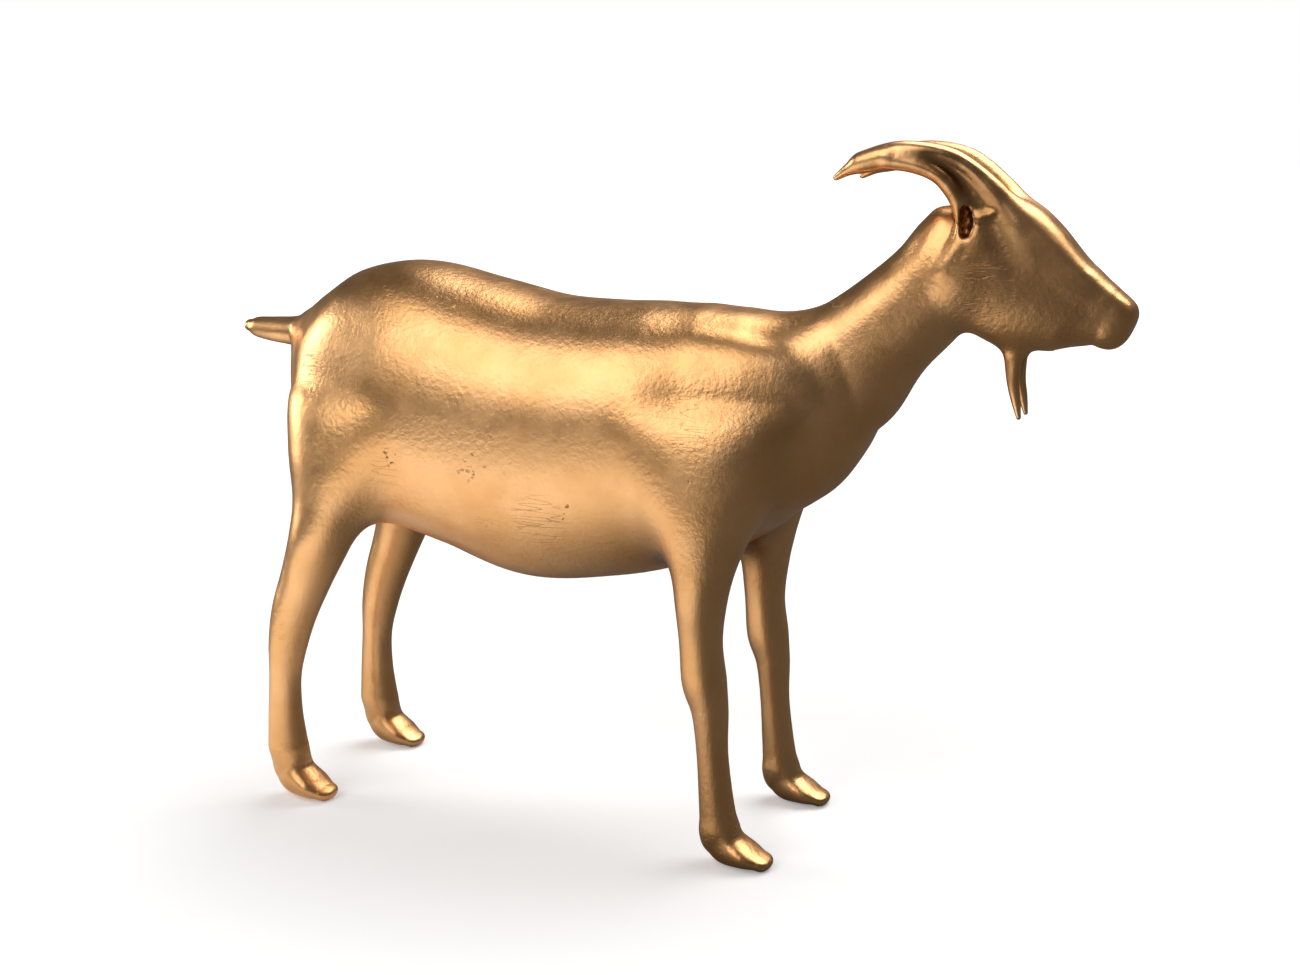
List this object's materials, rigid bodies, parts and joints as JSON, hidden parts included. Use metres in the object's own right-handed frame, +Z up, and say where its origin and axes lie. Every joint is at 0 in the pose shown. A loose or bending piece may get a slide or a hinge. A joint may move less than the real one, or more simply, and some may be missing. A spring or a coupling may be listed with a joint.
{
  "type": "goat statuette",
  "caption": "Standing goat statuette in hollow cast bronze, with swept-back horns, a short tail, a two-tuft beard and flat soles.",
  "frame": {"origin": "on the floor under the middle of the goat's box, midway between nose and tail tip and on the middle plane", "axes": "+X towards the nose, +Y towards the goat's left side, +Z up"},
  "size_m": [0.288, 0.0744, 0.2084],
  "materials": {
    "cast_bronze": "chased and waxed cast bronze, soft sheen, fine cast grain, scratches and pits",
    "sleeve_bronze": "rough as-cast bronze, hidden inside the neck",
    "pin_bronze": "drawn bronze rod, driven and filed",
    "plug_bronze": "bronze plug, filed flush"
  },
  "bodies": {
    "root": {"trunk_shell": "cast_bronze", "neck_shell": "cast_bronze", "head_shell": "cast_bronze", "horn_left": "cast_bronze", "horn_right": "cast_bronze", "beard": "cast_bronze", "tail": "cast_bronze", "fore_leg_left": "cast_bronze", "fore_leg_right": "cast_bronze", "hind_leg_left": "cast_bronze", "hind_leg_right": "cast_bronze", "neck_sleeve": "sleeve_bronze", "head_sleeve": "sleeve_bronze", "neck_pins": "pin_bronze", "head_pins": "pin_bronze", "leg_pins": "pin_bronze", "tail_pin": "pin_bronze", "chaplet_plugs": "plug_bronze", "core_plug": "plug_bronze"}
  },
  "joints": []
}
